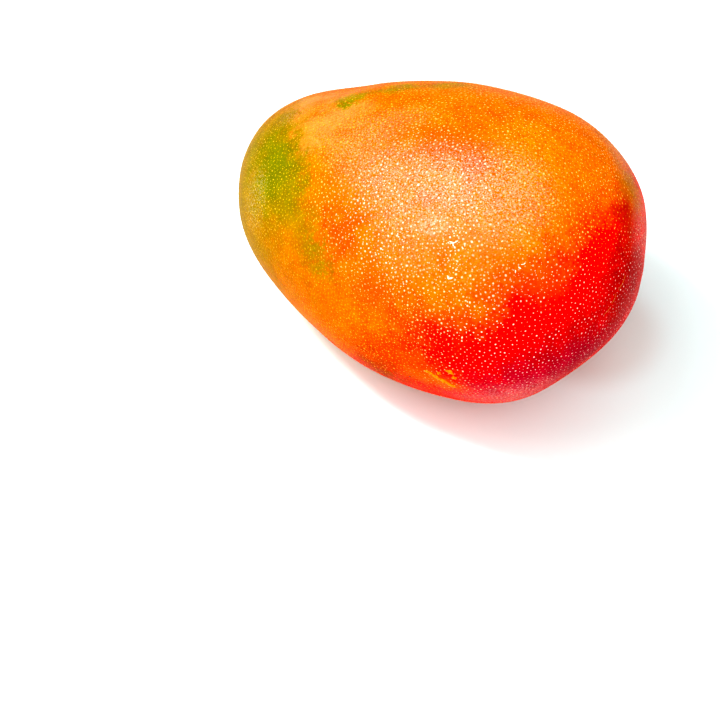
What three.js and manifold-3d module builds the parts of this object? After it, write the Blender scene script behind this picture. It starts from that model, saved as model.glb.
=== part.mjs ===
// A whole ripe mango lying on one cheek, with the stub of its stalk.
// Millimetres, +Z up. In the fruit's own frame +X points to the stalk, +Y to
// the beaked edge and +Z to the upper cheek. The resting turn then lays the
// fruit down with its weight over the small flat that it stands on.
import * as THREE from "three";
import { mergeVertices } from "three/addons/utils/BufferGeometryUtils.js";
import Module from "manifold-3d";

const wasm = await Module();
wasm.setup();

// ---- Driving dimensions of the fruit ----
const LENGTH = 125; // stalk end to apex
const WIDTH = 91; // edge to edge, across the flat stone
const THICKNESS = 86; // cheek to cheek
const BOW = -7.6; // the waist bulges this far away from the beaked edge
const LEAN = -8.6; // sideways shift of the stalk end; the apex shifts the other way

// The cross-section's scale along the axis is 1 + TAPER*u + FULLNESS*u^2
// + ROUNDING*u^3, with u from -1 at the apex to +1 at the stalk end.
const TAPER = 0.227;
const FULLNESS = 0.118;
const ROUNDING = -0.154;
const SHOULDER = -0.12; // the beaked edge is this much lower on the stalk side

// ---- The stalk's hollow and its woody stub ----
const STALK_DIRECTION = new THREE.Vector3(0.98, 0.142, -0.137).normalize();
const HOLLOW_DEPTH = 5;
const HOLLOW_REACH = 8;
const STUB_RADIUS = 2.6; // at the cut end
const STUB_COLLAR = 3.3; // where it grows out of the fruit
const STUB_HEIGHT = 3.4; // above the hollow's floor
const STUB_ROOT = 1.6; // sunk below the floor
const STUB_SIDES = 20;
const SEAT_GAP = 0.3; // clearance between the stub and its seat

// ---- How it lies ----
const REST_ROLL = THREE.MathUtils.degToRad(-3.5); // about its long axis
const REST_PITCH = THREE.MathUtils.degToRad(-9.2); // narrow apex end lower
const REST_FLAT_DEPTH = 0.4; // height pressed flat where it touches down

// ---- Facets ----
const RINGS = 48;
const SECTORS = 64;
const RING_CROWDING = 1.3; // above 1 draws the rings together round the stalk

// Low swells (+) and hollows (-) raised on the oval: where the middle of each
// one is, how far it reaches, and its height.
const RELIEF = [
  { name: "stalk hollow", at: ovalPoint(STALK_DIRECTION), reach: HOLLOW_REACH, height: -HOLLOW_DEPTH },
  { name: "sinus above the beak", at: new THREE.Vector3(-29, 18, 31), reach: 9, height: -1.35 },
  { name: "flat on the stalk shoulder", at: new THREE.Vector3(44, -36, -24), reach: 16, height: -2.3 },
  { name: "flat on the upper back", at: new THREE.Vector3(26, 18, 31), reach: 16, height: -0.9 },
  { name: "full front belly", at: new THREE.Vector3(-18, -42, -18), reach: 22, height: 2.7 },
];

// Point of the smooth oval in a direction seen from the fruit's middle.
function ovalPoint(direction) {
  const { x: u, y, z } = direction;
  const section = 1 + TAPER * u + FULLNESS * u * u + ROUNDING * u ** 3 + SHOULDER * y * u;
  return new THREE.Vector3(
    (LENGTH / 2) * u,
    (WIDTH / 2) * section * y + BOW * (1 - u * u) + LEAN * u,
    (THICKNESS / 2) * section * z,
  );
}

// Outward direction at a point, taken from the ellipsoid of the same size.
function outward(point) {
  return new THREE.Vector3(
    point.x / (LENGTH / 2) ** 2,
    point.y / (WIDTH / 2) ** 2,
    point.z / (THICKNESS / 2) ** 2,
  ).normalize();
}

// Point of the skin: the oval with its swells and hollows.
function skinPoint(direction) {
  const point = ovalPoint(direction);
  let height = 0;
  for (const form of RELIEF) {
    height += form.height * Math.exp(-point.distanceToSquared(form.at) / form.reach ** 2);
  }
  return point.addScaledVector(outward(point), height);
}

// Leaves only positions, with shared corners merged, as a solid needs.
function closedGeometry(geometry) {
  geometry.deleteAttribute("normal");
  geometry.deleteAttribute("uv");
  return mergeVertices(geometry);
}

function solidFrom(geometry) {
  const closed = closedGeometry(geometry);
  const mesh = new wasm.Mesh({
    numProp: 3,
    vertProperties: new Float32Array(closed.attributes.position.array),
    triVerts: new Uint32Array(closed.index.array),
  });
  return new wasm.Manifold(mesh);
}

function geometryFrom(solid) {
  const mesh = solid.getMesh();
  const geometry = new THREE.BufferGeometry();
  geometry.setAttribute("position", new THREE.BufferAttribute(mesh.vertProperties, 3));
  geometry.setIndex(new THREE.BufferAttribute(mesh.triVerts, 1));
  geometry.computeVertexNormals();
  return geometry;
}

// A sphere's net, its pole on the stalk, with every corner moved to the skin.
function skinGeometry() {
  const geometry = new THREE.SphereGeometry(1, SECTORS, RINGS);
  const turn = new THREE.Quaternion().setFromUnitVectors(new THREE.Vector3(0, 1, 0), STALK_DIRECTION);
  const corners = geometry.attributes.position;
  const direction = new THREE.Vector3();
  const polar = new THREE.Spherical();
  for (let i = 0; i < corners.count; i += 1) {
    direction.fromBufferAttribute(corners, i);
    polar.setFromVector3(direction);
    polar.phi = Math.PI * (polar.phi / Math.PI) ** RING_CROWDING;
    direction.setFromSpherical(polar).applyQuaternion(turn);
    const point = skinPoint(direction);
    corners.setXYZ(i, point.x, point.y, point.z);
  }
  return geometry;
}

// The stub's outline turned about its axis, from the root up to the cut end.
// A clearance makes the same form larger, for its seat.
function stubGeometry(clearance) {
  const profile = [
    new THREE.Vector2(0, -STUB_ROOT - clearance),
    new THREE.Vector2(STUB_RADIUS + clearance, -STUB_ROOT - clearance),
    new THREE.Vector2(STUB_COLLAR + clearance, -STUB_ROOT * 0.3),
    new THREE.Vector2(STUB_COLLAR * 0.94 + clearance, STUB_HEIGHT * 0.35),
    new THREE.Vector2(STUB_RADIUS + clearance, STUB_HEIGHT * 0.7),
    new THREE.Vector2(STUB_RADIUS + clearance, STUB_HEIGHT * 0.94 + clearance),
    new THREE.Vector2(STUB_RADIUS * 0.86 + clearance, STUB_HEIGHT + clearance),
    new THREE.Vector2(0, STUB_HEIGHT + clearance),
  ];
  const geometry = new THREE.LatheGeometry(profile, STUB_SIDES);
  const floor = skinPoint(STALK_DIRECTION);
  const lean = new THREE.Quaternion().setFromUnitVectors(new THREE.Vector3(0, 1, 0), outward(floor));
  geometry.applyQuaternion(lean);
  geometry.translate(floor.x, floor.y, floor.z);
  return geometry;
}

const restingTurn = new THREE.Matrix4().makeRotationFromEuler(
  new THREE.Euler(REST_ROLL, REST_PITCH, 0, "YXZ"),
);

function fruitGeometry() {
  const skin = skinGeometry().applyMatrix4(restingTurn);
  skin.computeBoundingBox();
  const ground = skin.boundingBox.min.z + REST_FLAT_DEPTH;
  const below = new THREE.BoxGeometry(2 * LENGTH, 2 * LENGTH, LENGTH);
  below.translate(0, 0, ground - LENGTH / 2);
  const seat = stubGeometry(SEAT_GAP).applyMatrix4(restingTurn);
  const solid = solidFrom(skin).subtract(solidFrom(below)).subtract(solidFrom(seat));
  return geometryFrom(solid);
}

const fruit = new THREE.Mesh(
  fruitGeometry(),
  new THREE.MeshStandardMaterial({ color: 0xf0800f, roughness: 0.4, metalness: 0 }),
);
fruit.name = "fruit";

const stub = new THREE.Mesh(
  closedGeometry(stubGeometry(0).applyMatrix4(restingTurn)),
  new THREE.MeshStandardMaterial({ color: 0x6b4a2b, roughness: 0.8, metalness: 0 }),
);
stub.name = "stem_stub";
stub.geometry.computeVertexNormals();

// The origin is the middle of the fruit's footprint, on the ground.
const mango = new THREE.Group();
mango.add(fruit, stub);
const box = new THREE.Box3().setFromObject(mango);
const middle = box.getCenter(new THREE.Vector3());
mango.position.set(-middle.x, -middle.y, -box.min.z);

export default mango;
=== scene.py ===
# %% [markdown]
# # A whole ripe mango
#
# The fruit lies on one cheek. Its skin is one closed sheet that runs from a
# small green apex, over an orange cheek, to a red stalk shoulder, and pale
# breathing pores, the lenticels, dot it all over. The dry stub of the stalk
# sits low in a hollow at the stalk end.
#
# The frame gives the size and place of the fruit. Everything below is in
# metres, in that frame: +X to the stalk, +Y to the beaked edge, +Z up.

# %% Load the frame
import math

import bmesh
import bpy
import numpy as np
from mathutils import Matrix, Vector, noise
from numpy.linalg import norm


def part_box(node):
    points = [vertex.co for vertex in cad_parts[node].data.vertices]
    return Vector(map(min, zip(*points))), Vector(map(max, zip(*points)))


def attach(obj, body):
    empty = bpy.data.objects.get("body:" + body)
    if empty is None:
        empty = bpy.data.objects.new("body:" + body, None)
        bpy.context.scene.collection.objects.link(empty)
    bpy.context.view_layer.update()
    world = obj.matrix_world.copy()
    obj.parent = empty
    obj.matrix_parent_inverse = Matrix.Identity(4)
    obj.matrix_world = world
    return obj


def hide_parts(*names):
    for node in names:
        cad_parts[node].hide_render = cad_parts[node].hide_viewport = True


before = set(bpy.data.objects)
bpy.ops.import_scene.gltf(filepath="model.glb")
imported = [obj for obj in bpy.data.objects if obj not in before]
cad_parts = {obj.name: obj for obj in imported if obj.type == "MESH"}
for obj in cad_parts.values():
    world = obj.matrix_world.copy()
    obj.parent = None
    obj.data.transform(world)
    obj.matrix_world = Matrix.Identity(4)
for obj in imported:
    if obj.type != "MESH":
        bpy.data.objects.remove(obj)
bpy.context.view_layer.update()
fruit_low, fruit_high = (np.array(corner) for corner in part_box("fruit"))
print("fruit box, m:", np.round(fruit_high - fruit_low, 4))

# %% [markdown]
# ## Small helpers
#
# Sizes on a fruit are easiest to read in millimetres, so `MM` turns them to
# metres. Colours are written as the hex values that a screen shows, and
# `linear` turns them to the light values that a shader adds up. `add` puts
# one node in a tree with its settings and links. The short functions after it
# give the outputs of the kinds of node that come back most.

# %% Helpers
MM = 0.001


def linear(hex_colour):
    """Turns an sRGB colour such as "FF8800" to linear red, green, blue, alpha."""
    channels = [int(hex_colour[i:i + 2], 16) / 255 for i in (0, 2, 4)]
    light = [c / 12.92 if c <= 0.04045 else ((c + 0.055) / 1.055) ** 2.4 for c in channels]
    return (*light, 1.0)


def add(tree, kind, sockets=None, **settings):
    """Adds a node. sockets maps an input's name or number to a value or a linked output."""
    new = tree.nodes.new(kind)
    for name, value in settings.items():
        setattr(new, name, value)
    for key, value in (sockets or {}).items():
        if isinstance(value, bpy.types.NodeSocket):
            tree.links.new(value, new.inputs[key])
        else:
            new.inputs[key].default_value = value
    return new


def cloud(tree, place, size, detail, output="Fac"):
    """Noise whose lumps have about this size, in the unit of the place."""
    noise_node = add(tree, "ShaderNodeTexNoise", {"Vector": place, "Scale": 1 / size, "Detail": detail})
    return noise_node.outputs[output]


def ramp(tree, value, low, high, to_low=0.0, to_high=1.0, smooth=False):
    """Takes low to high over to to_low to to_high, straight or as a soft step."""
    node = add(tree, "ShaderNodeMapRange", {
        "Value": value, "From Min": low, "From Max": high, "To Min": to_low, "To Max": to_high,
    }, interpolation_type="SMOOTHSTEP" if smooth else "LINEAR")
    return node.outputs["Result"]


def times(tree, first, second):
    """The product of two numbers."""
    return add(tree, "ShaderNodeMath", {0: first, 1: second}, operation="MULTIPLY").outputs[0]


def mix(tree, share, first, second):
    """The first colour where the share is 0, the second where it is 1."""
    return add(tree, "ShaderNodeMix", {0: share, 6: first, 7: second}, data_type="RGBA").outputs[2]


def vector_math(tree, operation, first, second=None):
    """Works on two vectors, or scales one by a number, or measures one."""
    sockets = {0: first}
    if second is not None:
        sockets["Scale" if operation == "SCALE" else 1] = second
    node = add(tree, "ShaderNodeVectorMath", sockets, operation=operation)
    gives_number = operation in ("LENGTH", "DISTANCE", "DOT_PRODUCT")
    return node.outputs["Value" if gives_number else "Vector"]


def reach_from(tree, place, middle, radii):
    """How far a place is from a middle, where 1 is the edge of an ellipsoid with these radii."""
    away = vector_math(tree, "SUBTRACT", place, middle)
    return vector_math(tree, "LENGTH", vector_math(tree, "DIVIDE", away, radii))


def attribute(tree, name, output="Fac"):
    """A value that is stored on the mesh."""
    return add(tree, "ShaderNodeAttribute", attribute_name=name).outputs[output]


def material_tree(name):
    """Starts a material, and gives it with its empty tree."""
    material = bpy.data.materials.new(name)
    material.use_nodes = True
    material.node_tree.nodes.clear()
    return material, material.node_tree


def principled(tree, sockets):
    """Ends a material's tree with a principled shader."""
    shader = add(tree, "ShaderNodeBsdfPrincipled", sockets)
    add(tree, "ShaderNodeOutputMaterial", {"Surface": shader.outputs["BSDF"]})


def new_object(name, data):
    """Puts an object with this data in the scene, at the origin."""
    new = bpy.data.objects.new(name, data)
    bpy.context.scene.collection.objects.link(new)
    return new


def new_piece(name, vertices, faces, smooth=True):
    """Makes an object from points in metres and lists of corners."""
    mesh = bpy.data.meshes.new(name)
    mesh.from_pydata([tuple(v) for v in vertices], [], [tuple(f) for f in faces])
    mesh.polygons.foreach_set("use_smooth", [smooth] * len(mesh.polygons))
    mesh.update()
    return new_object(name, mesh)


# %% [markdown]
# ## Camera
#
# A product shot of fruit looks down on it from about fifty degrees with a
# long lens, so that the far end isn't drawn smaller than the near one. The
# camera is placed by the point of the floor that it looks at, its height in
# degrees, its turn and its distance.

# %% Camera
AIM = Vector((-16.77 * MM, -15.96 * MM, 0.0))
DISTANCE = 600 * MM
ELEVATION = math.radians(51)
AZIMUTH = math.radians(12)
ROLL = math.radians(1.5)
LENS = 99.03
SENSOR_WIDTH = 36

back = Vector((
    math.sin(AZIMUTH) * math.cos(ELEVATION),
    -math.cos(AZIMUTH) * math.cos(ELEVATION),
    math.sin(ELEVATION),
))
level_right = Vector((math.cos(AZIMUTH), math.sin(AZIMUTH), 0))
level_up = back.cross(level_right)
right = math.cos(ROLL) * level_right + math.sin(ROLL) * level_up
up = math.cos(ROLL) * level_up - math.sin(ROLL) * level_right

camera_data = bpy.data.cameras.new("camera")
camera_data.lens = LENS
camera_data.sensor_width = SENSOR_WIDTH
camera_data.sensor_fit = "HORIZONTAL"
camera = new_object("camera", camera_data)
camera.matrix_world = Matrix.Translation(AIM + back * DISTANCE) @ Matrix(
    (right, up, back)
).transposed().to_4x4()
bpy.context.scene.camera = camera
print("camera at, mm:", [round(v / MM, 1) for v in camera.matrix_world.translation])

# %% [markdown]
# ## The fruit's form
#
# A mango is an egg-like oval that is flatter from cheek to cheek than from
# edge to edge. It could be sculpted, or lofted from sections, but a formula
# keeps it smooth and lets the stub and the small marks find the skin by the
# same rule. A direction from the middle gives a point of an ellipsoid, whose
# cross-section then grows and shrinks along the axis. Low swells and hollows
# are raised on that: the stalk's hollow, the sinus above the beak, two places
# where the skin is flatter and a fuller belly.

# %% The skin as a formula
LENGTH = 125 * MM
WIDTH = 91 * MM
THICKNESS = 86 * MM
# how far the middle bows sideways and the stalk end leans, and how the cross-section changes
BOW = -7.6 * MM
LEAN = -8.6 * MM
TAPER = 0.227
FULLNESS = 0.118
ROUNDING = -0.154
SHOULDER = -0.12
STALK_DIRECTION = np.array([0.98, 0.142, -0.137])
STALK_DIRECTION /= norm(STALK_DIRECTION)
HALF_SIZES = np.array([LENGTH, WIDTH, THICKNESS]) / 2


def oval(direction):
    """Points of the smooth oval in the given directions."""
    u, y, z = direction.T
    section = 1 + TAPER * u + FULLNESS * u**2 + ROUNDING * u**3 + SHOULDER * y * u
    return np.stack([
        HALF_SIZES[0] * u,
        HALF_SIZES[1] * section * y + BOW * (1 - u**2) + LEAN * u,
        HALF_SIZES[2] * section * z,
    ], axis=-1)


def outward(points):
    """Outward directions, taken from the ellipsoid of the same size."""
    normal = points / HALF_SIZES**2
    return normal / norm(normal, axis=-1, keepdims=True)


STALK_HOLLOW = oval(STALK_DIRECTION[None])[0]
RELIEF = (
    # middle, reach and height of the hollow, the sinus, two flatter places and the belly
    (STALK_HOLLOW, 8 * MM, -5 * MM),
    (np.array([-29, 18, 31]) * MM, 9 * MM, -1.35 * MM),
    (np.array([44, -36, -24]) * MM, 16 * MM, -2.3 * MM),
    (np.array([26, 18, 31]) * MM, 16 * MM, -0.9 * MM),
    (np.array([-18, -42, -18]) * MM, 22 * MM, 2.7 * MM),
)


def own_skin(direction):
    """Points of the skin in the fruit's own frame, before it is laid down."""
    points = oval(direction)
    height = np.zeros(len(points))
    for middle, reach, rise in RELIEF:
        height += rise * np.exp(-((points - middle) ** 2).sum(axis=-1) / reach**2)
    return points + outward(points) * height[:, None]


# %% [markdown]
# ## Laying the fruit down
#
# A mango rolls until its weight is over the spot that it touches, which
# leaves the narrow end a little lower. The turn is small, and the skin is
# pressed flat for a few tenths of a millimetre under it. The place comes from
# the frame: the finished skin fills the same box as the solid.

# %% The resting turn and place
REST_ROLL = math.radians(-3.5)
REST_PITCH = math.radians(-9.2)
REST_FLAT_DEPTH = 0.4 * MM
RINGS = 230
SECTORS = 280
RING_CROWDING = 1.25

resting_turn = np.array(
    Matrix.Rotation(REST_PITCH, 3, "Y") @ Matrix.Rotation(REST_ROLL, 3, "X")
)


def sphere_directions(rings, sectors, crowding):
    """Directions of a sphere's net, from the pole at the stalk to the pole at the apex."""
    side = np.cross([0, 0, 1], STALK_DIRECTION)
    side /= norm(side)
    other = np.cross(STALK_DIRECTION, side)
    polar = math.pi * (np.arange(1, rings) / rings) ** crowding
    turn = 2 * math.pi * np.arange(sectors) / sectors
    across = np.cos(turn)[:, None] * side + np.sin(turn)[:, None] * other
    rows = (
        np.cos(polar)[:, None, None] * STALK_DIRECTION
        + np.sin(polar)[:, None, None] * across[None]
    )
    return np.vstack([STALK_DIRECTION, rows.reshape(-1, 3), -STALK_DIRECTION])


skin_directions = sphere_directions(RINGS, SECTORS, RING_CROWDING)
turned = own_skin(skin_directions) @ resting_turn.T
middle = (turned.min(axis=0) + turned.max(axis=0)) / 2
frame_middle = (fruit_low + fruit_high) / 2
place = np.array([
    frame_middle[0] - middle[0],
    frame_middle[1] - middle[1],
    fruit_low[2] - REST_FLAT_DEPTH - turned[:, 2].min(),
])


def skin_point(direction):
    """Points of the skin as the fruit lies, for directions in its own frame."""
    return own_skin(np.atleast_2d(direction)) @ resting_turn.T + place


# rounds and pace of the search for a place on the skin, and the step that finds its slope
SEARCH_ROUNDS = 12
SEARCH_SHARE = 0.7
SLOPE_STEP = 0.004


def skin_spot(x, y, z):
    """The skin's point and outward direction under a place in mm near the skin."""
    target = np.array([x, y, z]) * MM
    own = (target - place) @ resting_turn
    direction = (own - np.array([0, BOW, 0])) / HALF_SIZES
    direction /= norm(direction)
    for _ in range(SEARCH_ROUNDS):
        miss = own - own_skin(direction[None])[0]
        direction = direction + SEARCH_SHARE * miss / HALF_SIZES
        direction /= norm(direction)
    side = np.cross(direction, [0.3, 0.5, 0.8])
    side /= norm(side)
    other = np.cross(direction, side)
    here, a, b = skin_point(np.stack([
        direction, direction + SLOPE_STEP * side, direction + SLOPE_STEP * other,
    ]))
    normal = np.cross(a - here, b - here)
    return here, normal / norm(normal)


print("skin is moved by, mm:", np.round(place / MM, 2))

# %% [markdown]
# ## The skin's mesh
#
# The net is drawn together round the stalk, where the skin bends most. A real
# skin rises and falls by a tenth of a millimetre over the flesh, and shallow
# creases run into the stalk's hollow. Both are moved into the mesh, because a
# highlight that runs over them breaks up softly. The mesh is then held inside
# the solid's box, which presses the resting spot flat.

# %% Build the skin
WAVE_HEIGHT = 0.16 * MM
WAVE_LENGTH = 13 * MM
CREASE_HEIGHT = 0.35 * MM
CREASE_REACH = 9 * MM
CREASE_COUNT = 7
CREASE_WOBBLE = 1.5


def net_faces(rings, sectors):
    """Faces of a sphere's net whose first and last points are its poles."""
    faces = []
    last = 1 + (rings - 1) * sectors
    for j in range(sectors):
        k = (j + 1) % sectors
        faces.append((0, 1 + j, 1 + k))
        for i in range(rings - 2):
            row = 1 + i * sectors
            below = row + sectors
            faces.append((row + j, below + j, below + k, row + k))
        row = last - sectors
        faces.append((last, row + k, row + j))
    return faces


def wave_heights(points):
    """How far the skin rises or falls at points, in metres."""
    return np.array([noise.noise(Vector(p / WAVE_LENGTH)) for p in points]) * WAVE_HEIGHT


skin_points = skin_point(skin_directions)
skin_out = outward(own_skin(skin_directions)) @ resting_turn.T
hollow_here = skin_point(STALK_DIRECTION)[0]
waves = wave_heights(skin_points)
from_stalk = skin_points - hollow_here
stalk_distance = norm(from_stalk, axis=1)
around = np.arctan2(from_stalk[:, 2], from_stalk[:, 1])
creases = np.cos(CREASE_COUNT * around + CREASE_WOBBLE * np.sin(2 * around)) * CREASE_HEIGHT
creases *= np.exp(-(stalk_distance / CREASE_REACH) ** 2) * (stalk_distance / CREASE_REACH)
skin_points = skin_points + skin_out * (waves + creases)[:, None]
skin_points = np.clip(skin_points, fruit_low, fruit_high)

skin = new_piece("mango_skin", skin_points, net_faces(RINGS, SECTORS))
print("skin faces:", len(skin.data.polygons))

# %% [markdown]
# ## Where the skin is green, golden or red
#
# A mango turns from green to gold as it ripens, last of all at the apex, and
# the shoulder that the sun reached blushes red. These zones are soft but
# ragged. They could be painted on an image. Here each is a soft ball round a
# place on the skin, and the blush is the far side of a plane. Some zones are
# painted light instead: painted shade along the right and lower front edges,
# a painted reflection low on the belly and painted light on the beak. Noise
# pushes their edges about, and flecks of red flush the orange skin outside the
# shaded side. One node group holds it all.

# %% Zones of colour under the blush
# name, colour, middle in mm, radii in mm, how soft the edge is, strength
GROUND_ZONES = (
    ("golden apex side", "B27212", (-62, -5, 50), (36, 50, 50), 0.8, 0.95),
    ("golden lower cheek", "BA6C12", (-32, -31, 46), (18, 17, 17), 0.9, 0.95),
    ("olive apex", "A07A0F", (-66, 0, 50), (29, 42, 44), 0.8, 1.0),
    ("green apex", "7E7D0B", (-46.5, 1, 61), (17, 19, 14), 0.9, 1.0),
    ("green apex core", "72760A", (-42.5, -3.5, 62.5), (11, 11, 9.5), 0.9, 0.8),
    ("olive trail", "8C7A0E", (-38, -13, 60), (9, 10, 9), 0.9, 0.8),
    ("olive trail middle", "967A0E", (-31, -21, 58.5), (8, 9, 9), 0.9, 0.8),
    ("olive trail end", "88790E", (-26, -26.7, 55.5), (7, 7.5, 8), 0.9, 1.0),
    ("pale crown", "EA9C58", (-33, 9, 73), (17, 9, 9), 0.9, 0.55),
    ("olive ridge", "90880E", (-28.5, 20, 73), (9, 4.8, 4.8), 0.8, 0.9),
    ("olive ridge middle", "98800E", (-16, 23, 77), (9.5, 5.5, 5), 0.8, 1.0),
    ("olive ridge top", "A0800E", (-2, 25, 80), (9.8, 6.5, 5), 0.8, 1.0),
    ("green spot", "74860C", (-29.5, 16, 73.5), (3.2, 3.2, 3), 0.6, 1.0),
    # painted light: the beak's rim made pale pink, as if lit from behind
    ("painted back light on the beak", "D4A468", (-38, 23, 66), (13, 5.5, 8), 0.8, 0.5),
    ("red cheek", "E44E18", (-21, -24, 66), (5.5, 6.5, 11), 0.9, 0.75),
    ("red cheek middle", "E5501A", (-9, -37, 56.5), (8, 6, 7), 0.9, 0.65),
    ("red cheek low", "E44E1A", (3, -43, 55), (13, 7, 9), 0.9, 0.95),
    ("red under the cheek", "D84A12", (-3, -43, 42), (15, 8, 9), 0.9, 0.95),
    ("red crown", "DC581A", (3, -6, 87), (10, 6.5, 5), 0.9, 0.85),
    ("red crown end", "D8541A", (12, -11, 87.5), (5, 5.5, 4), 0.9, 0.85),
    ("red crown start", "DE661A", (-10, 3.5, 83.3), (7, 5, 4.5), 0.9, 0.7),
    ("flushed front", "E05418", (25, -37.5, 72.5), (7, 7, 9), 0.9, 0.75),
    ("flushed shoulder", "DC5212", (44, -13, 80), (12, 8, 7), 0.9, 0.8),
    ("amber ridge", "EC8A1E", (12, 13, 83), (32, 11, 8), 0.9, 0.5),
    ("amber top", "EC9120", (32, -1, 86), (15, 13, 8), 0.9, 0.6),
    ("warm shoulder", "E27E14", (44, 6, 79), (18, 22, 14), 0.9, 0.9),
    ("green back", "A98C18", (-8, 48, 38), (44, 14, 24), 0.8, 0.7),
)

# %% Zones of colour over the blush
# the same values, for zones that lie over the red
BLUSH_ZONES = (
    # painted shade: these three darken the right shoulder where it turns from the light; the crimson and
    # the orange under it are the skin's own colour
    ("crimson shoulder in painted shade", "A40634", (56, -36, 42), (28, 26, 23), 0.9, 0.95),
    ("painted shade on the right shoulder", "A20A22", (62, -14, 58), (10, 16, 17), 0.9, 0.85),
    ("orange shoulder in painted shade", "C8720F", (56, 7, 71.5), (10, 9, 9), 0.7, 0.95),
    ("orange tongue", "E8641B", (14, -45, 62), (8, 6, 3.5), 0.9, 0.6),
    ("orange patch", "DE540F", (4, -45, 38), (13, 7, 6), 0.9, 0.9),
    # painted shade: the lower front edge darkened, as if shaded beside the fruit
    ("painted shade at the low edge left", "C23C0A", (-7, -41, 36), (10, 6, 6), 0.9, 0.75),
    ("painted shade at the low edge", "AA3E08", (-5, -41, 28), (13, 7, 7.5), 0.9, 0.95),
    ("red shoulder", "BE2A10", (55, -6, 70), (7, 9, 7), 0.9, 0.75),
    ("red bay", "EC2216", (12.5, -46, 54.5), (9, 6, 7), 0.9, 0.9),
    ("orange bay", "E8601B", (37, -34, 71), (8, 7, 6), 0.9, 0.55),
    ("magenta cheek", "BC0438", (33.5, -44, 39.5), (22, 9, 15), 0.9, 0.9),
    # painted reflection: the belly just above the board made pale pink, as if it mirrored the white floor
    ("painted floor reflection on the belly", "D84A48", (33, -43, 30), (15, 8, 8), 0.9, 0.85),
    ("corky patch", "EA7C1C", (11, -46, 34.5), (9, 4, 4.5), 0.9, 0.5),
    ("golden underside", "DF8A1D", (0, -2, 0), (42, 26, 14), 0.8, 0.9),
    ("stalk shade", "A8600F", (60, 9, 45), (8, 9, 9), 0.9, 0.75),
)

# %% Blush, flecks and ragged edges
# size in mm, detail, where it starts and is full, and share of the red flecks in the orange skin
FLUSHES = ((6.0, 3.0, 0.5, 0.75, 0.4), (0.8, 2.0, 0.45, 0.7, 0.52))
FLUSH_COLOUR = "DC4A1A"
# middle, radii and softness of the side where no flush of red shows
SHADED_SIDE = ((-62, -5, 50), (38, 54, 54), 0.6)
BASE_ORANGE = "E8731B"
# the blush starts half its width before its edge, in mm along its direction
BLUSH_RED = "F31D16"
BLUSH_DIRECTION = (0.663, -0.284, -0.692)
BLUSH_EDGE = -18.8
BLUSH_WIDTH = 15.0
# noise that pushes the edges about, as size and push in mm, for wide zones and for small ones
WIDE_PUSHES = ((16.0, 14.0), (4.0, 12.0), (1.1, 8.5))
SMALL_PUSHES = ((4.0, 5.0), (1.1, 4.0))
# a zone is wide if one of its radii is over this many mm
WIDE_ZONE = 10.0


def colour_group():
    """A node group: a place on the skin in metres in, its colour out, painted shade and light included."""
    group = bpy.data.node_groups.new("skin_zones_with_painted_light", "ShaderNodeTree")
    group.interface.new_socket("Place", in_out="INPUT", socket_type="NodeSocketVector")
    group.interface.new_socket("Color", in_out="OUTPUT", socket_type="NodeSocketColor")
    start = add(group, "NodeGroupInput")
    place_mm = vector_math(group, "SCALE", start.outputs["Place"], 1 / MM)

    def pushed_about(pushes):
        """The place, moved about by noise of each size and push."""
        pushed = place_mm
        for size, push in pushes:
            drift = cloud(group, place_mm, size, 1.0, "Color")
            centred = vector_math(group, "SUBTRACT", drift, (0.5, 0.5, 0.5))
            pushed = vector_math(group, "ADD", pushed, vector_math(group, "SCALE", centred, push))
        return pushed

    far_pushed = pushed_about(WIDE_PUSHES)
    nudged = pushed_about(SMALL_PUSHES)

    def ball(middle, radii, soft):
        """A soft mask, 1 inside an ellipsoid and 0 outside it."""
        here = far_pushed if max(radii) > WIDE_ZONE else nudged
        reach = reach_from(group, here, middle, radii)
        return ramp(group, reach, 1 + soft / 2, 1 - soft, smooth=True)

    def painted(colour, zones):
        """The colour with each zone laid over it in turn."""
        for _, fresh, middle, radii, soft, strength in zones:
            share = times(group, ball(middle, radii, soft), strength)
            colour = mix(group, share, colour, linear(fresh))
        return colour

    sunny = add(group, "ShaderNodeMath", {0: 1.0, 1: ball(*SHADED_SIDE)}, operation="SUBTRACT")
    colour = painted(linear(BASE_ORANGE), GROUND_ZONES)
    for size, detail, low, high, share in FLUSHES:
        flecks = ramp(group, cloud(group, place_mm, size, detail), low, high, 0.0, share)
        colour = mix(group, times(group, flecks, sunny.outputs[0]), colour, linear(FLUSH_COLOUR))
    along = vector_math(group, "DOT_PRODUCT", far_pushed, BLUSH_DIRECTION)
    blush = ramp(group, along, BLUSH_EDGE - BLUSH_WIDTH / 2, BLUSH_EDGE + BLUSH_WIDTH / 2, smooth=True)
    colour = painted(mix(group, blush, colour, linear(BLUSH_RED)), BLUSH_ZONES)
    add(group, "NodeGroupOutput", {"Color": colour})
    return group


skin_zone_colours = colour_group()
print("nodes in the zones:", len(skin_zone_colours.nodes))
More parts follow.
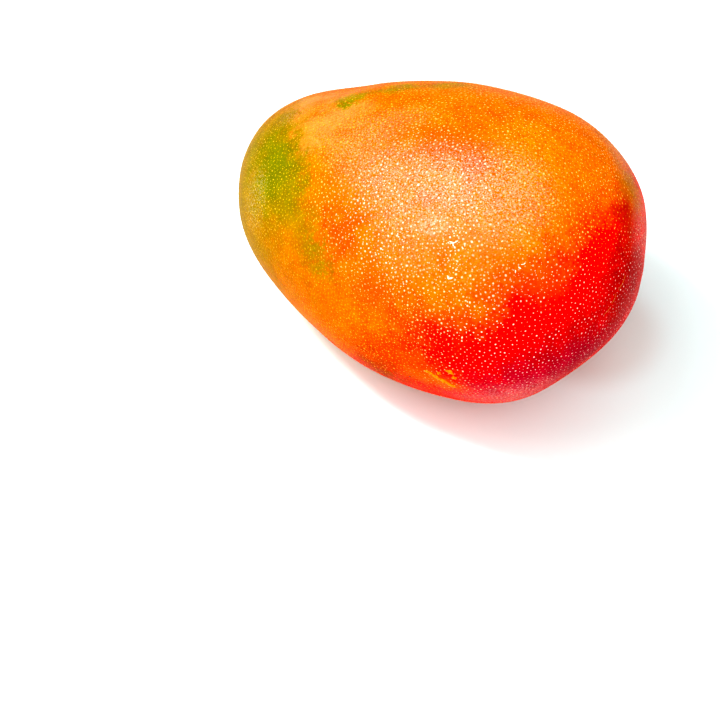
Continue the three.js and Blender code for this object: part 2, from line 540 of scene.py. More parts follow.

# %% [markdown]
# ## The skin's finish
#
# Mango skin is a tough, waxy cuticle over coloured cells. The wax makes it
# half glossy, so lights spread to a broad soft glare, and its fine pebbling
# breaks that glare up. The shader is a dielectric with the index of plant
# wax, about 1.45, under a thin clear coat. A cloudy mottling and a fine
# speckle vary the colour. Patches of pale grains are painted light: a painted
# glare on the cheek and the top, and a painted sheen along the rims. One
# patch of dark grains on the red shoulder is the skin's own. The pores
# come further down, and this material draws the pale dot on each of them.

# %% Patches of painted glare and sheen, and of dark grain
# the grain of the painted glare: its sizes in mm along X, Y and Z, and the noise where it starts and is
# full
GLARE_GRAIN = ((0.42, 0.42, 0.42), 0.4, 0.66)
GLARE_SHEEN_AND_GRAIN = (
    # colour, middle and radii in mm, grain, share
    # painted glare: pale grains on the cheek, the top and the beak, where the lamps' reflection falls
    ("F8C8BC", (-2, -17, 80), (19, 15, 15), GLARE_GRAIN, 0.36),
    ("F8C8BC", (19, -18, 84), (19, 16, 14), GLARE_GRAIN, 0.35),
    ("F8BCB2", (-11, 5, 82.5), (14, 7, 7), GLARE_GRAIN, 0.18),
    ("F2BC9C", (-45, 18, 64.5), (8, 6, 6), GLARE_GRAIN, 0.2),
    ("F8BCB2", (-18, -7, 77), (13, 13, 11), GLARE_GRAIN, 0.22),
    ("F8C8BC", (-3, -30, 71), (12, 10, 11), GLARE_GRAIN, 0.12),
    ("FBE0D6", (4.5, -28.5, 78.5), (6, 2.6, 3), ((0.9, 0.9, 0.9), 0.45, 0.65), 0.34),
    ("F8BE9C", (13, -34, 72), (20, 11, 14), ((0.5, 0.5, 0.5), 0.35, 0.7), 0.1),
    ("F2BC9C", (-29, 3, 75.5), (18, 13, 10), GLARE_GRAIN, 0.2),
    # painted sheen: pale pink grains along the right and lower rims
    ("D98C92", (64, -22, 47), (7.3, 28, 24), ((0.35, 0.35, 0.6), 0.42, 0.7), 0.35),
    ("D98C92", (37, -42.5, 30), (22, 9, 11), ((0.5, 0.5, 0.5), 0.44, 0.64), 0.62),
    # the skin's own dark grain on the red shoulder
    ("560018", (60, -24, 50), (11, 26, 22), ((0.4, 0.4, 0.7), 0.54, 0.66), 0.4),
    # painted sheen: pale grains stretched along the upper right rim and along the rim at the apex
    ("CDB8B0", (50.5, 18, 69.5), (8, 13, 9), ((0.25, 0.7, 0.3), 0.35, 0.75), 0.42),
    ("ECC0BC", (60.5, 3, 61.5), (7.5, 13, 10), ((0.25, 0.35, 0.5), 0.35, 0.75), 0.45),
    ("EADFB8", (-51, -4, 50), (5.5, 9, 12), ((0.3, 0.3, 0.7), 0.5, 0.7), 0.34),
)
# a patch starts at the first share of its radii and is full at the second
PATCH_REACH = (1.3, 0.3)

# %% Skin material
# size in mm, detail, and darkest and lightest share, of the mottling and the speckle,
# and the noise where they are darkest and lightest
MOTTLES = ((5.0, 3.0, 0.86, 1.12), (0.9, 2.0, 0.9, 1.1))
MOTTLE_NOISE = (0.3, 0.7)
PEBBLE_SIZE = 0.55
PEBBLE_DEPTH = 0.3 * MM
PORE_CREAM = "F6E2D6"
PORE_GOLD = "FFCC52"
# how far up a pore's cone its dot starts and is full
PORE_EDGE = (0.15, 0.75)


def skin_material():
    """Mango skin: zones, mottling, painted glare and sheen, dark grain and pores on pebbled, half glossy
    wax.
    """
    material, tree = material_tree("waxy_mango_skin")
    place_out = add(tree, "ShaderNodeTexCoord").outputs["Object"]
    place_mm = vector_math(tree, "SCALE", place_out, 1 / MM)
    zones = add(tree, "ShaderNodeGroup", {"Place": place_out}, node_tree=skin_zone_colours)
    shades = [
        ramp(tree, cloud(tree, place_mm, size, detail), *MOTTLE_NOISE, darkest, lightest)
        for size, detail, darkest, lightest in MOTTLES
    ]
    toned = add(tree, "ShaderNodeHueSaturation", {
        "Value": times(tree, *shades), "Color": zones.outputs["Color"],
    })
    colour = toned.outputs["Color"]
    # the pale patches are painted glare and sheen, the dark one is the skin's grain
    for patch_hex, middle, radii, (grain_sizes, low, high), share in GLARE_SHEEN_AND_GRAIN:
        grain = cloud(tree, vector_math(tree, "DIVIDE", place_mm, grain_sizes), 1.0, 1.0)
        grains = ramp(tree, grain, low, high, 0.0, share)
        near = ramp(tree, reach_from(tree, place_mm, middle, radii), *PATCH_REACH, smooth=True)
        colour = mix(tree, times(tree, grains, near), colour, linear(patch_hex))
    dot = ramp(tree, attribute(tree, "pore_core"), *PORE_EDGE, smooth=True)
    cork = mix(tree, attribute(tree, "pore_pale"), linear(PORE_GOLD), linear(PORE_CREAM))
    pored = mix(tree, times(tree, dot, attribute(tree, "pore_tone")), colour, cork)
    bump = add(tree, "ShaderNodeBump", {
        "Height": cloud(tree, place_mm, PEBBLE_SIZE, 1.0), "Distance": PEBBLE_DEPTH,
    })
    principled(tree, {
        "Base Color": pored, "Roughness": 0.55, "IOR": 1.45, "Specular IOR Level": 0.08,
        "Coat Weight": 0.12, "Coat Roughness": 0.15,
        "Normal": bump.outputs["Normal"], "Coat Normal": bump.outputs["Normal"],
    })
    return material


skin_wax = skin_material()
skin.data.materials.append(skin_wax)

# %% [markdown]
# ## Lenticels
#
# Each pale dot is a breathing pore with a corky rim, hardly raised. The main
# ones are about 0.8 mm across and a little over a millimetre apart, with
# finer ones between them. They are smaller at the apex and on the red
# shoulder, and none grow in the stalk's hollow. Drawing them in the shader
# would be cheap, but then they would not catch the light, so Geometry Nodes
# scatter small solids over the skin. Numbers stored on the skin say where
# they grow, how big they are, and how pale, how clear and how even they look.

# %% Places where the pores differ
def soft_step(value, low, high):
    """0 below low, 1 above high, and a smooth rise between them."""
    t = np.clip((value - low) / (high - low), 0, 1)
    return t * t * (3 - 2 * t)


PALE_PORES = (
    # middle and radii in mm, and how pale the pores are there
    ((0, -24, 78), (30, 24, 24), 1.0),
    ((38, -38, 56), (32, 22, 26), 1.0),
    ((58, -24, 48), (18, 28, 24), 1.0),
    ((28, 4, 83), (36, 26, 16), 0.3),
)
PORE_LIGHTS = (
    # middle and radii in mm, and how much fainter or clearer the pores are there
    ((-34, -30, 42), (20, 20, 20), -0.25),
    ((20, 16, 84), (44, 20, 14), 0.1),
    ((-50, 0, 55), (14, 20, 14), 0.4),
    ((58, -24, 48), (16, 26, 24), -0.15),
    ((36, -33, 72), (9, 9, 9), -0.15),
    ((24, -41, 67), (11, 8, 9), -0.15),
    ((24, -46, 50), (14, 8, 14), 0.3),
)
skin_mm = skin_points / MM


def near_to(middle, radii):
    """1 within half the radii of a place on the skin, and 0 past one and a half of them."""
    return soft_step(1.5 - norm((skin_mm - middle) / radii, axis=1), 0, 1)


# %% Pore attributes on the skin
# mm along the blush's direction, and towards the apex, where the change starts and ends
PORE_REDDENS = (BLUSH_EDGE - 4, BLUSH_EDGE + 12)
PORE_APEX = (26, 48)
BARE_HOLLOW = 7 * MM
PORE_CLOUD = 9 * MM
# how much smaller the pores are at the apex and on the red
APEX_SHRINK = 0.25
RED_SHRINK = 0.22
# how clear the pores are, and what paleness, redness and clouds of noise add
PORE_CLEAR = 0.7
PALE_CLEAR = 0.2
RED_CLEAR = 0.24
CLOUD_CLEAR = 0.5
# how even they are, from 0 for every tone to 1 for one tone, and what redness takes away
PORE_EVEN = 0.35
RED_UNEVEN = 0.2
FINE_LEAST = 0.6

redness = soft_step(skin_mm @ BLUSH_DIRECTION, *PORE_REDDENS)
apexness = soft_step(-skin_mm[:, 0], *PORE_APEX)
hollowness = np.exp(-(stalk_distance / BARE_HOLLOW) ** 2)
clouds = np.array([noise.noise(Vector(p / PORE_CLOUD)) for p in skin_points])
pore_pale = np.zeros(len(skin_mm))
for middle, radii, paleness in PALE_PORES:
    pore_pale = np.maximum(pore_pale, paleness * near_to(middle, radii))
pore_light = PORE_CLEAR + PALE_CLEAR * pore_pale + RED_CLEAR * redness
for middle, radii, change in PORE_LIGHTS:
    pore_light += change * near_to(middle, radii)
fine_share = np.maximum(1 - pore_pale, FINE_LEAST) * (1 - redness) * (1 - hollowness)
stored_values = (
    ("pore_share", 1 - hollowness),
    ("pore_size", 1.0 - APEX_SHRINK * apexness - RED_SHRINK * redness),
    ("pore_light", pore_light * (1 + CLOUD_CLEAR * clouds)),
    ("pore_even", PORE_EVEN - RED_UNEVEN * redness),
    ("pore_pale", pore_pale),
    ("fine_share", np.clip(fine_share, 0, 1)),
)
for name, values in stored_values:
    stored = skin.data.attributes.new(name, "FLOAT", "POINT")
    stored.data.foreach_set("value", values.astype(np.float32))
print("stored on the skin:", [name for name, _ in stored_values])

# %% [markdown]
# ## The tree that scatters the pores
#
# A pore is a low cone, sunk a little in the skin. Poisson scattering keeps a
# least distance between two of them, as pores do. Each is sized, stretched
# and turned at random. How far up the cone a point lies is stored before the
# cone is pressed low, so the material can draw a soft dot on it.

# %% Pore tree
PORE_SINK = 0.02 * MM
# pores in a square metre, before their spacing thins them
MOST_PORES = 3.0e6
# ranges of the random sizes and stretches, and seeds of what is random
PORE_SIZES = (0.55, 1.25)
PORE_STRETCHES = (0.75, 1.3)
STRETCH_SEED = 33
TURN_SEED = 34
TONE_SEED = 21


def pore_tree():
    """Scatters low cones over a mesh, as many as its stored share asks for."""
    tree = bpy.data.node_groups.new("scatter_lenticels", "GeometryNodeTree")
    inputs = (
        ("Geometry", "Geometry"), ("Spacing", "Float"), ("Radius", "Float"), ("Height", "Float"),
        ("Sides", "Int"), ("Share", "String"), ("Seed", "Int"), ("Material", "Material"),
    )
    for name, kind in inputs:
        tree.interface.new_socket(name, in_out="INPUT", socket_type="NodeSocket" + kind)
    tree.interface.new_socket("Geometry", in_out="OUTPUT", socket_type="NodeSocketGeometry")
    start = add(tree, "NodeGroupInput").outputs

    def read(name):
        """A number that is stored on the mesh."""
        named = add(tree, "GeometryNodeInputNamedAttribute", {"Name": name}, data_type="FLOAT")
        return named.outputs["Attribute"]

    def store(geometry, name, value):
        """The geometry with a number stored on its points."""
        stored = add(tree, "GeometryNodeStoreNamedAttribute", {
            "Geometry": geometry, "Name": name, "Value": value,
        }, data_type="FLOAT", domain="POINT")
        return stored.outputs["Geometry"]

    def any_number(low, high, seed):
        """A random number for each pore."""
        any_node = add(tree, "FunctionNodeRandomValue", {2: low, 3: high, "Seed": seed}, data_type="FLOAT")
        return any_node.outputs[1]

    scatter = add(tree, "GeometryNodeDistributePointsOnFaces", {
        "Mesh": start["Geometry"], "Distance Min": start["Spacing"], "Seed": start["Seed"],
        "Density Max": MOST_PORES, "Density Factor": read(start["Share"]),
    }, distribute_method="POISSON")
    cone = add(tree, "GeometryNodeMeshCone", {
        "Vertices": start["Sides"], "Radius Top": 0.0, "Radius Bottom": 1.0, "Depth": 1.0,
    }, fill_type="NGON")
    where = add(tree, "GeometryNodeInputPosition")
    up_cone = add(tree, "ShaderNodeSeparateXYZ", {0: where.outputs["Position"]})
    low_scale = add(tree, "ShaderNodeCombineXYZ", {
        "X": start["Radius"], "Y": start["Radius"], "Z": start["Height"],
    })
    pore = add(tree, "GeometryNodeTransform", {
        "Geometry": store(cone.outputs["Mesh"], "pore_core", up_cone.outputs["Z"]),
        "Scale": low_scale.outputs["Vector"],
        "Translation": (0, 0, -PORE_SINK),
    })
    size = times(tree, any_number(*PORE_SIZES, start["Seed"]), read("pore_size"))
    stretch = add(tree, "ShaderNodeCombineXYZ", {
        "X": any_number(*PORE_STRETCHES, STRETCH_SEED), "Y": 1.0, "Z": 1.0,
    })
    spin = add(tree, "ShaderNodeCombineXYZ", {"Z": any_number(0.0, math.pi, TURN_SEED)})
    spun = add(tree, "FunctionNodeRotateRotation", {
        0: scatter.outputs["Rotation"], 1: spin.outputs["Vector"],
    }, rotation_space="LOCAL")
    evened = add(tree, "ShaderNodeMix", {
        0: read("pore_even"), 2: any_number(0.0, 1.0, TONE_SEED), 3: 1.0,
    }, data_type="FLOAT")
    tone = times(tree, evened.outputs[0], read("pore_light"))
    placed = add(tree, "GeometryNodeInstanceOnPoints", {
        "Points": store(scatter.outputs["Points"], "pore_tone", tone),
        "Instance": pore.outputs["Geometry"],
        "Rotation": spun.outputs[0],
        "Scale": vector_math(tree, "SCALE", stretch.outputs["Vector"], size),
    })
    real = add(tree, "GeometryNodeRealizeInstances", {"Geometry": placed.outputs["Instances"]})
    flat = add(tree, "GeometryNodeSetShadeSmooth", {
        "Geometry": real.outputs["Geometry"], "Shade Smooth": False,
    })
    finished = add(tree, "GeometryNodeSetMaterial", {
        "Geometry": flat.outputs["Geometry"], "Material": start["Material"],
    })
    add(tree, "NodeGroupOutput", {"Geometry": finished.outputs["Geometry"]})
    return tree


scatter_lenticels = pore_tree()
print("nodes in the pore tree:", len(scatter_lenticels.nodes))

# %% [markdown]
# ## Growing the pores
#
# One tree makes both sizes of pore. Its result is kept as a plain mesh,
# because instances are lost when the model is exported. A model's colours are
# baked on a flat map of each piece, and unwrapping thousands of cones one by
# one would waste that map, so theirs is unrolled round the fruit's long axis.

# %% Grow the pores
PORE_INPUTS = ("Spacing", "Radius", "Height", "Sides", "Share", "Seed")
PORE_KINDS = (
    # name, and the values of those inputs
    ("lenticels", 1.15 * MM, 0.42 * MM, 0.1 * MM, 6, "pore_share", 7),
    ("fine_lenticels", 0.8 * MM, 0.3 * MM, 0.06 * MM, 4, "fine_share", 12),
)


def grown_from(piece, name, tree, settings):
    """Runs a Geometry Nodes tree on a piece and gives the result as a plain mesh."""
    modifier = piece.modifiers.new(name, "NODES")
    modifier.node_group = tree
    for item in tree.interface.items_tree:
        if item.in_out == "INPUT" and item.name in settings:
            modifier[item.identifier] = settings[item.name]
    evaluated = piece.evaluated_get(bpy.context.evaluated_depsgraph_get())
    mesh = bpy.data.meshes.new_from_object(evaluated)
    mesh.name = name
    piece.modifiers.remove(modifier)
    return new_object(name, mesh)


def unroll(piece):
    """Gives a piece a flat map, unrolled round the fruit's long axis."""
    mesh = piece.data
    places = np.empty(len(mesh.vertices) * 3, dtype=np.float32)
    mesh.vertices.foreach_get("co", places)
    places = places.reshape(-1, 3)
    from_middle = places - places.mean(axis=0)
    turn = np.arctan2(from_middle[:, 1], from_middle[:, 2]) / (2 * math.pi) + 0.5
    along = (places[:, 0] - places[:, 0].min()) / np.ptp(places[:, 0])
    corners = np.empty(len(mesh.loops), dtype=np.int32)
    mesh.loops.foreach_get("vertex_index", corners)
    flat_places = np.column_stack([turn, along])[corners].astype(np.float32)
    mesh.uv_layers.new(name="OFBake").uv.foreach_set("vector", flat_places.ravel())


pore_pieces = []
for name, *values in PORE_KINDS:
    settings = dict(zip(PORE_INPUTS, values), Material=skin_wax)
    piece = grown_from(skin, name, scatter_lenticels, settings)
    unroll(piece)
    pore_pieces.append(piece)
    piece.data.calc_loop_triangles()
    print(piece.name, "triangles:", len(piece.data.loop_triangles))

# %% [markdown]
# ## The stalk's stub
#
# When a mango is picked, a few millimetres of woody stalk stay in the hollow.
# They dry to a brown plug with lengthwise fibres, widest where it joins the
# fruit, and a paler, ragged broken end. The outline is the solid's own,
# turned about the hollow's outward direction. Grooves between the fibres only
# take wood away, so the stub never gets larger than its solid.

# %% Build the stub
STUB_RADIUS = 2.6 * MM
STUB_COLLAR = 3.3 * MM
STUB_HEIGHT = 3.4 * MM
STUB_ROOT = 1.6 * MM
STUB_PROFILE = (
    # radius and height
    (0.0, -STUB_ROOT),
    (STUB_RADIUS, -STUB_ROOT),
    (STUB_COLLAR, -0.3 * STUB_ROOT),
    (0.94 * STUB_COLLAR, 0.35 * STUB_HEIGHT),
    (STUB_RADIUS, 0.7 * STUB_HEIGHT),
    (STUB_RADIUS, 0.94 * STUB_HEIGHT),
    (0.86 * STUB_RADIUS, STUB_HEIGHT),
    (0.0, STUB_HEIGHT),
)
STUB_TURNS = 90
STUB_STEPS = 64
FIBRE_COUNT = 17
FIBRE_DEPTH = 0.16 * MM
# the share of the height where the broken end starts, its depth, and the sizes of its lumps
END_SHARE = 0.9
RAGGED_DEPTH = 0.9 * MM
LARGE_LUMPS = 1.1 * MM
SMALL_LUMPS = 0.4 * MM


def stub_piece():
    """The stub as a net turned about the hollow's axis, with its fibres and ragged end."""
    profile = np.array(STUB_PROFILE)
    travelled = np.concatenate([[0], np.cumsum(norm(np.diff(profile, axis=0), axis=1))])
    steps = np.linspace(0, travelled[-1], STUB_STEPS + 1)[1:-1]
    radii = np.interp(steps, travelled, profile[:, 0])
    heights = np.interp(steps, travelled, profile[:, 1])
    own_out = outward(own_skin(STALK_DIRECTION[None]))[0]
    axis = resting_turn @ own_out
    side = np.cross(axis, [0, 0, 1])
    side /= norm(side)
    other = np.cross(axis, side)
    # each row: a point, its place along the fibres, and its share of the broken end
    rows = [(hollow_here - axis * STUB_ROOT, (0.0, 0.0, 0.0), 0.0)]
    for travel, radius, height in zip(steps, radii, heights):
        end = float(soft_step(height, END_SHARE * STUB_HEIGHT, STUB_HEIGHT))
        for turn in range(STUB_TURNS):
            angle = 2 * math.pi * turn / STUB_TURNS
            groove = 0.5 - 0.5 * math.cos(FIBRE_COUNT * angle + 0.6 * math.sin(3 * angle + travel / MM))
            around_stub = math.cos(angle) * side + math.sin(angle) * other
            spot = around_stub * radius
            lumps = noise.noise(Vector(spot / LARGE_LUMPS)) + 0.6 * noise.noise(Vector(spot / SMALL_LUMPS))
            roughness = min(1.0, max(0.0, 0.45 + 0.6 * lumps))
            worn = radius - FIBRE_DEPTH * groove * (1 - end) * min(1.0, radius / STUB_RADIUS)
            sunk = RAGGED_DEPTH * end * (roughness + 0.4 * (1 - radius / STUB_RADIUS))
            point = hollow_here + around_stub * worn + axis * (height - sunk)
            rows.append((point, (angle * STUB_RADIUS / MM, travel / MM, radius / MM), end))
    tip = hollow_here + axis * (STUB_HEIGHT - 0.8 * RAGGED_DEPTH)
    rows.append((tip, (0.0, travelled[-1] / MM, 0.0), 1.0))
    points, fibre_places, end_shares = zip(*rows)
    faces = [tuple(reversed(face)) for face in net_faces(STUB_STEPS, STUB_TURNS)]
    piece = new_piece("stalk_stub", points, faces)
    grain = piece.data.attributes.new("fibre_place", "FLOAT_VECTOR", "POINT")
    grain.data.foreach_set("vector", np.array(fibre_places, dtype=np.float32).ravel())
    end_share = piece.data.attributes.new("broken_end", "FLOAT", "POINT")
    end_share.data.foreach_set("value", np.array(end_shares, dtype=np.float32))
    return piece


stub = stub_piece()
print("stub faces:", len(stub.data.polygons))

# %% [markdown]
# ## The stub's wood
#
# Dry bark is grey-brown along its fibres. The broken end shows paler wood
# with rays and pits, a thin dark rim of bark and a dark pith. Noise is
# stretched along the fibres by places stored on the mesh, in mm: round the
# stub, along its outline, and out from its middle.

# %% Stub material
FIBRE_STRETCH = (2.2, 0.35, 0.3)
RAY_STRETCH = (2.6, 0.0, 0.9)
PIT_SIZE = 0.35 * MM
# the noise of the rays and pits where the cut wood is dark and where it is light
CUT_NOISE = (0.13, 0.38)
FIBRE_BUMP = 0.25 * MM
# mm from the middle where the bark's rim starts and is full, and where the pith is full and ends
STUB_RIM = (1.75, 2.2)
STUB_PITH = (0.3, 0.65)


def stalk_material():
    """Dry wood of the stalk: grey-brown fibres and a paler broken end."""
    material, tree = material_tree("dry_stalk_wood")
    along = attribute(tree, "fibre_place", "Vector")
    streaks = cloud(tree, vector_math(tree, "MULTIPLY", along, FIBRE_STRETCH), 1.0, 4.0)
    bark = mix(tree, streaks, linear("2E1D10"), linear("A4814F"))
    place_out = add(tree, "ShaderNodeTexCoord").outputs["Object"]
    rays = cloud(tree, vector_math(tree, "MULTIPLY", along, RAY_STRETCH), 1.0, 3.0)
    grain = times(tree, rays, cloud(tree, place_out, PIT_SIZE, 2.0))
    cut_wood = mix(tree, ramp(tree, grain, *CUT_NOISE), linear("6A3A1C"), linear("DDAE78"))
    radius = add(tree, "ShaderNodeSeparateXYZ", {0: along}).outputs["Z"]
    rimmed = mix(tree, ramp(tree, radius, *STUB_RIM), cut_wood, linear("3E2412"))
    pith = ramp(tree, radius, STUB_PITH[1], STUB_PITH[0])
    broken = mix(tree, pith, rimmed, linear("3A2010"))
    wood = mix(tree, attribute(tree, "broken_end"), bark, broken)
    bump = add(tree, "ShaderNodeBump", {"Height": streaks, "Distance": FIBRE_BUMP})
    principled(tree, {
        "Base Color": wood, "Roughness": 0.85, "IOR": 1.5, "Specular IOR Level": 0.3,
        "Normal": bump.outputs["Normal"],
    })
    return material


stub.data.materials.append(stalk_material())
print("stub materials:", len(stub.data.materials))

# %% [markdown]
# ## Small marks on the skin
#
# No fruit is spotless. White crescents on the cheek are painted glints, as
# of light on small drops of water. A corky scar runs along the lower side, a
# fine dry scratch crosses the red shoulder, and there are a few dark specks.
# Decals would do from far off. Here each mark is a low ragged ridge that
# follows the skin's waves, half sunk in them and narrower at its ends, so it
# looks right from any side. A speck is just a very short ridge.

# %% Marks
MARKS = (
    # kind, its two colours, roughness, width and height in mm, lines through places in mm near the skin
    # painted glints: near-white crescents where light would glint on drops of water
    ("painted_glints", "FFF6EC", "F0D8C0", 0.35, 0.32, 0.12, (
        ((10.1, -32.0, 77.4), (11.2, -32.5, 77.4), (12.3, -31.9, 78.1)),
        ((11.2, -32.7, 77.2), (11.4, -33.0, 76.9)),
        ((11.1, -38.4, 71.0), (11.6, -38.9, 70.4), (12.7, -38.8, 70.9)),
        ((30.0, -33.8, 75.5), (30.6, -33.6, 75.5), (30.9, -33.2, 75.7)),
        ((29.4, -34.5, 75.1), (30.1, -34.6, 74.7)),
        ((28.8, -35.3, 74.5), (28.9, -35.8, 74.0)),
    )),
    ("corky_scar", "EE9624", "D8681A", 0.8, 1.5, 0.3, (
        ((8.4, -46.0, 38.4), (9.4, -46.2, 38.3), (10.2, -46.4, 37.8)),
        ((10.3, -46.3, 37.6), (11.4, -46.4, 37.4), (12.2, -46.5, 36.6)),
        ((12.6, -46.5, 36.9), (13.6, -46.5, 36.4), (14.2, -46.5, 35.6)),
        ((14.4, -46.5, 36.0), (15.4, -46.4, 35.2), (16.8, -46.4, 34.6)),
        ((14.3, -47.4, 42.1), (15.2, -47.6, 42.1), (16.0, -47.6, 41.5)),
        ((11.9, -47.0, 40.0), (12.5, -47.0, 39.7)),
        ((16.4, -47.4, 40.2), (16.8, -47.4, 39.4)),
    )),
    ("dry_scratch", "D07C40", "A04A20", 0.7, 0.22, 0.1, (
        ((57.1, -16.0, 59.2), (56.8, -18.0, 57.9), (55.9, -20.4, 57.4)),
        ((55.5, -21.5, 57.2), (55.6, -22.2, 55.8), (55.0, -23.7, 55.1)),
        ((54.8, -24.3, 54.6), (54.4, -25.2, 53.9), (53.3, -27.1, 53.7)),
    )),
    ("dark_speck", "3A160C", "20100A", 0.6, 0.5, 0.06, (
        ((49.0, -21.4, 70.0), (49.2, -21.4, 70.0)),
        ((7.3, 10.3, 86.9), (7.5, 10.3, 86.9)),
        ((3.3, -43.3, 31.2), (3.6, -43.4, 31.2)),
        ((-14.0, 44.0, 50.0), (-13.8, 44.0, 50.0)),
        ((20.0, 38.0, 66.0), (20.3, 38.0, 66.0)),
    )),
)
RIDGE_STEPS = 14
RIDGE_SIDES = 8
# how ragged a ridge is, over what length, and the square of the least share of its width
RAGGEDNESS = 0.9
RAGGED_LENGTH = 0.7 * MM
END_TAPER = 0.18
# size of the patches of the second colour, and the noise where they start and are full
PATCH_SIZE = 0.5 * MM
PATCH_NOISE = (0.4, 0.65)


def ridge(spine, width, height):
    """Points and faces of a closed low ridge along a line on the skin, tapered at both ends."""
    spine = np.array(spine)
    lengths = np.concatenate([[0], np.cumsum(norm(np.diff(spine, axis=0), axis=1))])
    travels = np.linspace(0, lengths[-1], RIDGE_STEPS + 1)
    near_skin = np.column_stack([np.interp(travels, lengths, spine[:, k]) for k in range(3)])
    here, up_here = (np.array(found) for found in zip(*(skin_spot(*spot) for spot in near_skin)))
    here += up_here * wave_heights(here)[:, None]
    forward = np.gradient(here, axis=0)
    forward /= norm(forward, axis=1, keepdims=True)
    start = here[0] - forward[0] * width / 2
    end = here[-1] + forward[-1] * width / 2
    points = [start]
    for i in range(RIDGE_STEPS + 1):
        share = i / RIDGE_STEPS
        across = np.cross(forward[i], up_here[i])
        across /= norm(across)
        ragged = 1 + RAGGEDNESS * noise.noise(Vector(here[i] / RAGGED_LENGTH))
        taper = math.sqrt(max(END_TAPER, 1 - (2 * share - 1) ** 4)) * ragged
        for k in range(RIDGE_SIDES):
            angle = 2 * math.pi * k / RIDGE_SIDES
            points.append(here[i] + across * math.cos(angle) * width / 2 * taper
                          + up_here[i] * math.sin(angle) * height * taper)
    points.append(end)
    return np.array(points), net_faces(RIDGE_STEPS + 2, RIDGE_SIDES)


def normals_out(piece):
    """Turns the faces of closed shells outward."""
    shell = bmesh.new()
    shell.from_mesh(piece.data)
    bmesh.ops.recalc_face_normals(shell, faces=shell.faces)
    shell.to_mesh(piece.data)
    shell.free()


def mark_material(kind, colour, shade, roughness):
    """Painted glints, cork, a scratch or specks: two colours in small patches."""
    material, tree = material_tree(kind)
    place_out = add(tree, "ShaderNodeTexCoord").outputs["Object"]
    patches = ramp(tree, cloud(tree, place_out, PATCH_SIZE, 2.0), *PATCH_NOISE)
    principled(tree, {
        "Base Color": mix(tree, patches, linear(colour), linear(shade)),
        "Roughness": roughness, "IOR": 1.45,
    })
    return material


def mark_piece(kind, colour, shade, roughness, width, height, lines):
    """All the marks of one kind as one piece."""
    points, faces = [], []
    for line in lines:
        more, corners = ridge(line, width * MM, height * MM)
        faces += [tuple(corner + len(points) for corner in face) for face in corners]
        points += list(more)
    piece = new_piece(kind, points, faces)
    normals_out(piece)
    piece.data.materials.append(mark_material(kind, colour, shade, roughness))
    return piece


marks = [mark_piece(*mark) for mark in MARKS]
print("marks:", [(mark.name, len(mark.data.polygons)) for mark in marks])

# %% [markdown]
# ## Floor and light
#
# The fruit lies on a plain white board. Lamps alone would leave such a board
# grey, so it also glows a little, with a cooler light near the fruit, and not
# where the fruit shades it on the right.

# %% Floor
FLOOR_SIZE = 6.0
BOARD_COLOUR = "DEE9E7"
# colour and strength of the glow near the fruit and far off, and the distances in metres
NEAR_GLOW = ("C1F5FE", 0.11)
FAR_GLOW = ("D4F4FC", 0.8)
GLOW_REACH = (0.4, 1.4)
# middle of the shaded place, and how far from it the glow starts and is full
SHADE_MIDDLE = (50 * MM, 12 * MM, 0.0)
SHADE_REACH = (14 * MM, 26 * MM)


def floor_material():
    """Matte white board that glows a little."""
    material, tree = material_tree("matte_white_board")
    place_out = add(tree, "ShaderNodeTexCoord").outputs["Object"]
    far = ramp(tree, vector_math(tree, "LENGTH", place_out), *GLOW_REACH, smooth=True)
    glow = ramp(tree, far, 0.0, 1.0, NEAR_GLOW[1], FAR_GLOW[1])
    from_shade = vector_math(tree, "DISTANCE", place_out, SHADE_MIDDLE)
    lit = ramp(tree, from_shade, *SHADE_REACH, smooth=True)
    principled(tree, {
        "Base Color": linear(BOARD_COLOUR), "Roughness": 0.7, "Specular IOR Level": 0.0,
        "Emission Color": mix(tree, far, linear(NEAR_GLOW[0]), linear(FAR_GLOW[0])),
        "Emission Strength": times(tree, glow, lit),
    })
    return material


half = FLOOR_SIZE / 2
floor = new_piece("floor", [(-half, -half, 0), (half, -half, 0), (half, half, 0), (-half, half, 0)],
                  [(0, 1, 2, 3)], smooth=False)
floor.data.materials.append(floor_material())
print("floor, m:", tuple(floor.dimensions))

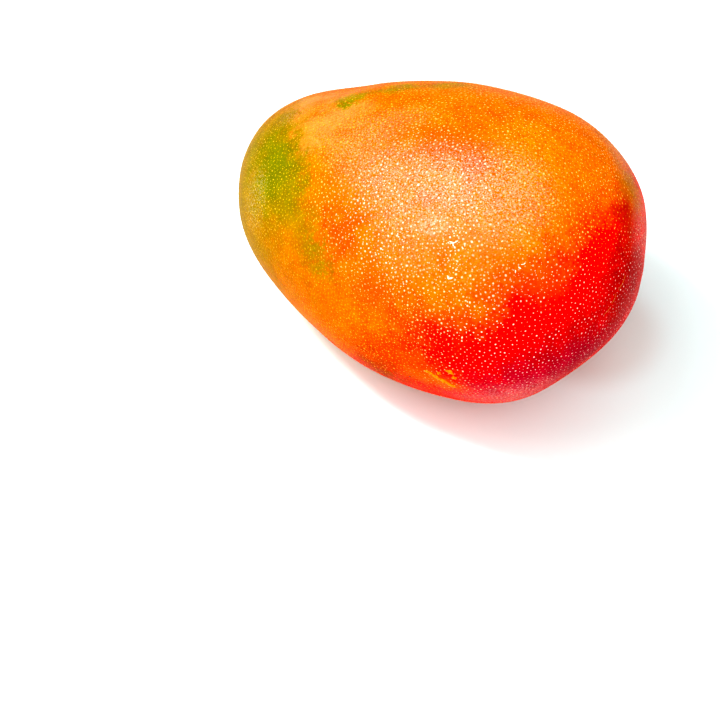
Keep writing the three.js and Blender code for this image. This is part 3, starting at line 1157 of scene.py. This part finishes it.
# %% [markdown]
# ## Room and lights
#
# A broad softbox high on the left, with a small bare lamp in it, gives the
# glare on the cheek and a shadow to the right, which a scrim overhead and a
# fill in front open up. The room is white to the camera and dim as a light,
# so that the lamps shape the fruit. The view transform is the plain one, so
# that strong fruit colours keep their saturation, with high contrast and a
# black level that clears the haze from the darks.

# %% Room, lights and view
ROOM_LIGHT = 0.12
LIGHT_TARGET = Vector((0.0, 0.0, 40 * MM))
LIGHTS = (
    # name, direction from the fruit, distance and size in metres, watts
    ("key_softbox", (-0.52, -0.13, 0.85), 1.3, 0.9, 8),
    ("bare_lamp", (-0.46, -0.14, 0.86), 1.3, 0.16, 7),
    ("overhead_scrim", (0.42, -0.1, 0.9), 1.6, 2.4, 18),
    ("front_fill", (0.0, -0.85, 0.55), 1.5, 1.6, 12),
)
BLACK_LEVEL = (0.03, 0.035, 0.045)

world = bpy.data.worlds.new("white_room")
world.use_nodes = True
room = world.node_tree
background = room.nodes["Background"]
background.inputs["Color"].default_value = linear("FFFFFF")
seen_by_camera = add(room, "ShaderNodeLightPath").outputs["Is Camera Ray"]
strength = ramp(room, seen_by_camera, 0.0, 1.0, ROOM_LIGHT, 1.0)
room.links.new(strength, background.inputs["Strength"])
bpy.context.scene.world = world


def softbox(name, direction, distance, size, watts):
    """A square light that looks at the fruit's middle."""
    lamp_data = bpy.data.lights.new(name, "AREA")
    lamp_data.size = size
    lamp_data.energy = watts
    lamp = new_object(name, lamp_data)
    away = Vector(direction).normalized()
    lamp.location = LIGHT_TARGET + away * distance
    lamp.rotation_euler = away.to_track_quat("Z", "Y").to_euler()


for light in LIGHTS:
    softbox(*light)
view = bpy.context.scene.view_settings
view.view_transform = "Standard"
view.look = "High Contrast"
view.use_curve_mapping = True
view.curve_mapping.black_level = BLACK_LEVEL
view.curve_mapping.update()
print("lights:", [name for name, *_ in LIGHTS])

# %% [markdown]
# ## Who rides on what
#
# The mango doesn't move in itself, so every piece rides on its one body.

for piece in (skin, *pore_pieces, *marks):
    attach(piece, "root")
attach(stub, "root")
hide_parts("fruit")
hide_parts("stem_stub")
